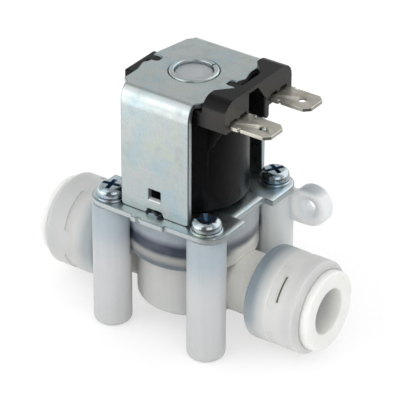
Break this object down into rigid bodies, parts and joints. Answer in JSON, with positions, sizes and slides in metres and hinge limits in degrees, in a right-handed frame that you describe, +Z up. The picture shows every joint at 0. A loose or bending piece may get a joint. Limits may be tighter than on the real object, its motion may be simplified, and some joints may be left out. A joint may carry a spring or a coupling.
{
  "type": "solenoid valve",
  "caption": "Pilot-operated water solenoid valve: translucent moulded body with push-fit tube ports, diaphragm and plunger inside, and a yoke-clamped coil with blade terminals.",
  "frame": {"origin": "centre of the object's footprint, in the plane of the four posts' lower ends; the coil's axis rises through it", "axes": "+X along the ports to the outlet, +Y to the side with the screw ear, +Z up along the coil's axis"},
  "size_m": [0.0666, 0.0328, 0.058],
  "materials": {
    "clear_body": "satin translucent natural polypropylene",
    "clear_cap": "satin, less translucent",
    "white_acetal": "satin opaque white",
    "black_plastic": "semi-gloss glass-filled nylon",
    "dark_rubber": "matte EPDM",
    "zinc_plate": "zinc-plated strip, bluish, mottled satin",
    "screw_steel": "bright zinc plating",
    "plain_steel": "plain stainless",
    "tinned_blade": "dull tin plating",
    "copper_wire": "enamelled copper"
  },
  "bodies": {
    "housing": {"valve_body": "clear_body", "guide_tube": "clear_body", "diaphragm": "dark_rubber", "plunger_spring": "plain_steel", "coil_cover": "black_plastic", "coil_bobbin": "black_plastic", "coil_winding": "copper_wire", "near_terminal": "tinned_blade", "far_terminal": "tinned_blade", "yoke": "zinc_plate", "base_plate": "zinc_plate", "upper_flux_sleeve": "zinc_plate", "lower_flux_sleeve": "zinc_plate", "near_outlet_screw": "screw_steel", "near_outlet_washer": "screw_steel", "near_inlet_screw": "screw_steel", "near_inlet_washer": "screw_steel", "far_outlet_screw": "screw_steel", "far_outlet_washer": "screw_steel", "far_inlet_screw": "screw_steel", "far_inlet_washer": "screw_steel", "inlet_cap": "clear_cap", "inlet_cap_seal": "dark_rubber", "inlet_tube_seal": "dark_rubber", "outlet_cap": "clear_cap", "outlet_cap_seal": "dark_rubber", "outlet_tube_seal": "dark_rubber"},
    "plunger": {"plunger": "plain_steel", "plunger_seal": "dark_rubber"},
    "diaphragm_centre": {"diaphragm_insert": "white_acetal"},
    "inlet_collet": {"inlet_collet": "white_acetal", "inlet_grip_ring": "plain_steel"},
    "outlet_collet": {"outlet_collet": "white_acetal", "outlet_grip_ring": "plain_steel"}
  },
  "joints": [
    {"name": "plunger_lift", "type": "slide", "parent": "housing", "child": "plunger", "axis": [0, 0, 1], "range_m": [0, 0.002], "stiffness_N_per_m": 120, "springref_m": -0.004, "deforming": ["plunger_spring"]},
    {"name": "diaphragm_lift", "type": "slide", "parent": "housing", "child": "diaphragm_centre", "axis": [0, 0, 1], "range_m": [0, 0.0016], "deforming": ["diaphragm"]},
    {"name": "inlet_collet_slide", "type": "slide", "parent": "housing", "child": "inlet_collet", "axis": [1, 0, 0], "range_m": [0, 0.0012], "stiffness_N_per_m": 800},
    {"name": "outlet_collet_slide", "type": "slide", "parent": "housing", "child": "outlet_collet", "axis": [-1, 0, 0], "range_m": [0, 0.0012], "stiffness_N_per_m": 800}
  ],
  "couplings": [
    {"joint": "diaphragm_lift", "follows": "plunger_lift", "ratio": 0.8}
  ]
}
